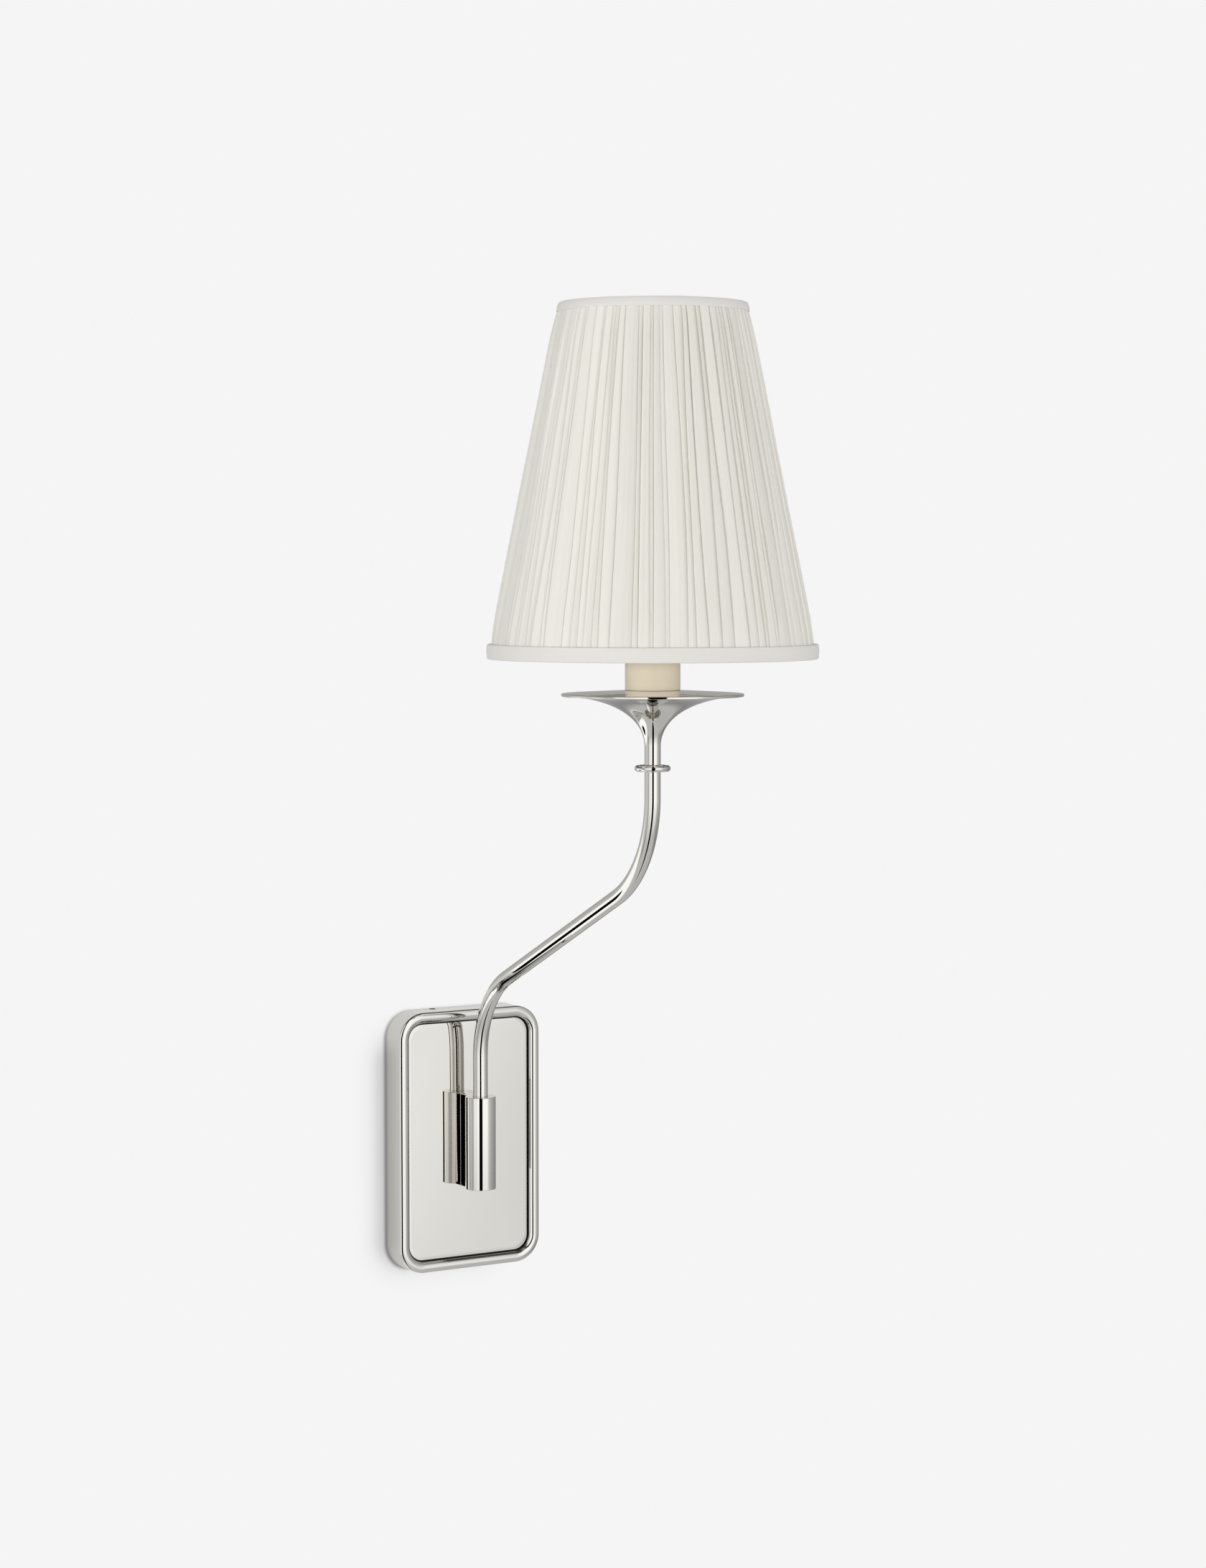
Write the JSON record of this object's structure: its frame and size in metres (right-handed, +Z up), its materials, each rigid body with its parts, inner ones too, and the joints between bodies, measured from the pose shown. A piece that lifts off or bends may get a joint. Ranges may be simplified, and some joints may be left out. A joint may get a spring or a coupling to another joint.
{
  "type": "swing arm wall sconce",
  "caption": "Wall light with a slim rectangular backplate, a swinging bent-tube arm, a flared drip pan with a candle sleeve, and a tapered gathered fabric shade open top and bottom.",
  "frame": {"origin": "centre of the flat back of the mounting bracket, on the wall plane", "axes": "+Z up the wall; +Y into the wall, so the light stands out towards -Y; +X to the right as seen facing the wall"},
  "size_m": [0.1948, 0.3338, 0.6039],
  "materials": {
    "nickel": "polished nickel plate, mirror bright",
    "steel": "plain bright steel",
    "zinc": "zinc plated pressed steel",
    "brass": "machined brass",
    "ivory": "ivory candle sleeve, eggshell",
    "phenolic": "dark moulded phenolic",
    "nylon": "natural nylon bearing",
    "shirred_fabric": "off-white linen gathered in fine vertical pleats, matt",
    "lining_cloth": "white stretched lining, satin weave",
    "trim_cloth": "folded self-fabric binding, matt",
    "wire_insulation": "white lead insulation",
    "opal_glass": "soft white coated lamp glass",
    "connector": "orange twist-on connector"
  },
  "bodies": {
    "wall_mount": {"mounting_bracket": "zinc", "ground_screw": "brass", "backplate_frame": "nickel", "set_screw_top_left": "steel", "set_screw_top_right": "steel", "set_screw_bottom_left": "steel", "set_screw_bottom_right": "steel", "backplate_panel": "nickel", "backing_plate": "zinc", "pivot_spacer": "nickel", "pivot_stud": "zinc", "stud_washer": "zinc", "stud_lock_washer": "steel", "stud_nut": "zinc", "pivot_barrel": "nickel", "barrel_plug": "nickel", "wave_washer": "steel", "lower_bush": "nylon", "upper_bush": "nylon", "stud_lead": "wire_insulation", "wire_connector_left": "connector", "wire_connector_right": "connector"},
    "arm": {"socket_nipple": "zinc", "pan_nut": "zinc", "arm_spindle": "brass", "thrust_washer": "brass", "arm_coupling": "brass", "socket_shell": "brass", "socket_contact": "brass", "arm_tube": "nickel", "collar_ring": "nickel", "trumpet": "nickel", "drip_pan": "nickel", "fitter_ring": "nickel", "shade_spoke_1": "nickel", "shade_spoke_2": "nickel", "shade_spoke_3": "nickel", "shade_ring_bottom": "nickel", "shade_ring_top": "nickel", "shade_rib_1": "nickel", "shade_rib_2": "nickel", "shade_rib_3": "nickel", "shade_rib_4": "nickel", "shade_rib_5": "nickel", "shade_rib_6": "nickel", "pan_lock_washer": "steel", "bulb_base": "steel", "arm_lead": "wire_insulation", "candle_sleeve": "ivory", "socket_base_cap": "phenolic", "socket_body": "phenolic", "socket_ring_nut": "phenolic", "bulb_glass": "opal_glass", "shade_lining": "lining_cloth", "shade_fabric": "shirred_fabric", "trim_bottom": "trim_cloth", "trim_top": "trim_cloth"}
  },
  "joints": [
    {"name": "arm_swing", "type": "hinge", "parent": "wall_mount", "child": "arm", "pos_m": [0, -0.03277, 0], "axis": [0, 0, 1], "range_deg": [-65, 65]}
  ]
}
